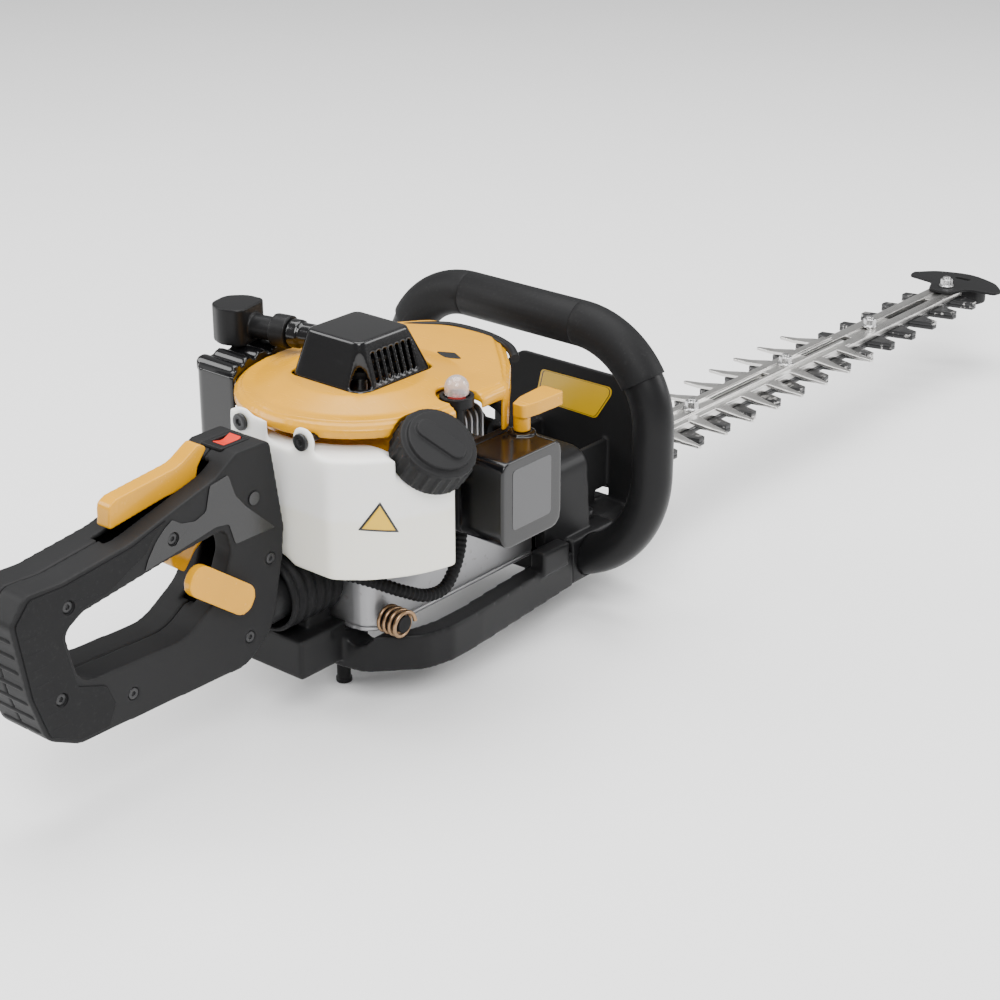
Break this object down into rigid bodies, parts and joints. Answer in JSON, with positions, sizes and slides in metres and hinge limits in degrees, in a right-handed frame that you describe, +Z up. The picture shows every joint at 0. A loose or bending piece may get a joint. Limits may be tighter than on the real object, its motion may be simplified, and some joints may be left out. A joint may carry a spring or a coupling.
{
  "type": "petrol hedge trimmer",
  "caption": "Petrol hedge trimmer: swivelling rear handle, front loop handle, small two-stroke engine with fuel tank, and a long double-sided reciprocating cutter.",
  "frame": {"origin": "centre of the stand pin's foot on its underside, where the tool stands on the ground", "axes": "+X towards the blade tip, +Y to the left, +Z up; the cutter lies level along +X"},
  "size_m": [1.1054, 0.25, 0.2415],
  "materials": {
    "satin_black": "satin moulded black",
    "gloss_black": "gloss black",
    "soft_grip": "soft-touch overmould",
    "yellow": "gloss warm yellow",
    "red": "gloss red",
    "tank": "translucent natural plastic",
    "bulb": "clear soft plastic",
    "bright_steel": "ground and brushed",
    "dark_steel": "blackened, ground cutting edges",
    "cast_alloy": "as cast",
    "machined_alloy": "machined",
    "black_screw": "black oxide",
    "spring_bronze": "phosphated spring wire",
    "exhaust_steel": "heat-tinted",
    "rubber_black": "matte rubber",
    "foam": "filter foam",
    "ceramic_white": "glazed",
    "rope": "braided"
  },
  "bodies": {
    "chassis": {"base_frame": "satin_black", "stand_foot": "satin_black", "front_bracket": "satin_black", "loop_handle": "satin_black", "loop_grip": "soft_grip", "hand_guard": "satin_black", "bracket_screws": "black_screw", "av_springs": "spring_bronze", "swivel_bellows": "rubber_black", "gearcase": "cast_alloy", "gearcase_lid": "cast_alloy", "crankcase": "cast_alloy", "engine_cylinder": "cast_alloy", "spark_plug": "ceramic_white", "plug_boot": "rubber_black", "ignition_coil": "satin_black", "carburettor": "machined_alloy", "intake_spacer": "satin_black", "air_filter": "foam", "airbox_base": "satin_black", "airbox_cover": "gloss_black", "primer_base": "satin_black", "muffler": "exhaust_steel", "muffler_cover": "gloss_black", "fan_housing": "yellow", "cowl": "yellow", "starter_cover": "gloss_black", "fuel_tank": "tank", "tank_screws": "black_screw", "fuel_hoses": "rubber_black", "throttle_conduit": "rubber_black", "guide_bar": "bright_steel", "tine_comb": "bright_steel", "blade_bolts": "bright_steel", "tip_guard": "satin_black"},
    "clutch_drum": {"clutch_drum": "bright_steel"},
    "drive_gear": {"drive_gear": "bright_steel"},
    "crank": {"crankshaft": "bright_steel", "clutch_shoes": "machined_alloy", "fan_wheel": "cast_alloy"},
    "piston": {"piston": "machined_alloy", "connecting_rod": "machined_alloy"},
    "starter_pulley": {"starter_pulley": "satin_black"},
    "pull_handle": {"pull_handle": "satin_black", "starter_rope": "rope"},
    "fuel_cap": {"fuel_cap": "soft_grip"},
    "upper_blade": {"upper_blade": "dark_steel"},
    "lower_blade": {"lower_blade": "dark_steel"},
    "rear_handle": {"handle_right": "satin_black", "handle_left": "satin_black", "handle_screws": "black_screw", "swivel_tube": "satin_black", "switch_bezel": "gloss_black", "trigger_pins": "bright_steel"},
    "throttle_trigger": {"throttle_trigger": "yellow"},
    "lockout_lever": {"lockout_lever": "yellow"},
    "stop_switch": {"stop_switch": "red"},
    "release_paddle": {"release_paddle": "yellow"},
    "choke_lever": {"choke_lever": "yellow"},
    "primer_bulb": {"primer_bulb": "bulb"}
  },
  "joints": [
    {"name": "handle_swivel", "type": "hinge", "parent": "chassis", "child": "rear_handle", "pos_m": [-0.035, 0, 0.088], "axis": [1, 0, 0], "range_deg": [-90, 90]},
    {"name": "trigger_squeeze", "type": "hinge", "parent": "rear_handle", "child": "throttle_trigger", "pos_m": [-0.106, 0, 0.158], "axis": [0, 1, 0], "range_deg": [0, 16], "stiffness_Nm_per_rad": 0.6, "springref_deg": -8.59},
    {"name": "lockout_press", "type": "hinge", "parent": "rear_handle", "child": "lockout_lever", "pos_m": [-0.122, 0, 0.182], "axis": [0, 1, 0], "range_deg": [-8, 0], "stiffness_Nm_per_rad": 0.6, "springref_deg": 11.46},
    {"name": "stop_switch_rock", "type": "hinge", "parent": "rear_handle", "child": "stop_switch", "pos_m": [-0.093, 0, 0.197], "axis": [0, 1, 0], "range_deg": [-8, 8]},
    {"name": "release_paddle_turn", "type": "hinge", "parent": "rear_handle", "child": "release_paddle", "pos_m": [-0.106, -0.021, 0.107], "axis": [0, 1, 0], "range_deg": [0, 15], "stiffness_Nm_per_rad": 0.6, "springref_deg": -8.59},
    {"name": "choke_turn", "type": "hinge", "parent": "chassis", "child": "choke_lever", "pos_m": [0.082, -0.084, 0.18], "axis": [0, 0, 1], "range_deg": [-45, 0]},
    {"name": "primer_press", "type": "slide", "parent": "chassis", "child": "primer_bulb", "axis": [0, 0, -1], "range_m": [0, 0.0035], "stiffness_N_per_m": 300, "springref_m": -0.001},
    {"name": "fuel_cap_turn", "type": "hinge", "parent": "chassis", "child": "fuel_cap", "pos_m": [-0.004, -0.084, 0.186], "axis": [-0.0963, -0.6081, 0.788], "continuous": true},
    {"name": "starter_pull", "type": "slide", "parent": "chassis", "child": "pull_handle", "axis": [-0.2079, 0.9781, 0], "range_m": [0, 0.6], "stiffness_N_per_m": 12, "springref_m": -0.15},
    {"name": "starter_pulley_spin", "type": "hinge", "parent": "chassis", "child": "starter_pulley", "pos_m": [0.022, 0, 0.221], "axis": [0, 0, 1], "continuous": true},
    {"name": "crank_spin", "type": "hinge", "parent": "chassis", "child": "crank", "pos_m": [0.022, 0, 0.144], "axis": [0, 0, 1], "continuous": true},
    {"name": "piston_stroke", "type": "slide", "parent": "chassis", "child": "piston", "axis": [1, 0, 0], "range_m": [-0.028, 0]},
    {"name": "drive_gear_spin", "type": "hinge", "parent": "chassis", "child": "drive_gear", "pos_m": [0.0685, 0, 0.089], "axis": [0, 0, 1], "continuous": true},
    {"name": "clutch_drum_spin", "type": "hinge", "parent": "chassis", "child": "clutch_drum", "pos_m": [0.022, 0, 0.09], "axis": [0, 0, 1], "continuous": true},
    {"name": "upper_blade_stroke", "type": "slide", "parent": "chassis", "child": "upper_blade", "axis": [1, 0, 0], "range_m": [-0.00875, 0.00875]},
    {"name": "lower_blade_stroke", "type": "slide", "parent": "chassis", "child": "lower_blade", "axis": [1, 0, 0], "range_m": [-0.00875, 0.00875]}
  ],
  "couplings": [
    {"joint": "clutch_drum_spin", "follows": "drive_gear_spin", "ratio": -4.6923},
    {"joint": "lower_blade_stroke", "follows": "upper_blade_stroke", "ratio": -1},
    {"joint": "starter_pulley_spin", "follows": "starter_pull", "rad_per_m": 52.632}
  ]
}
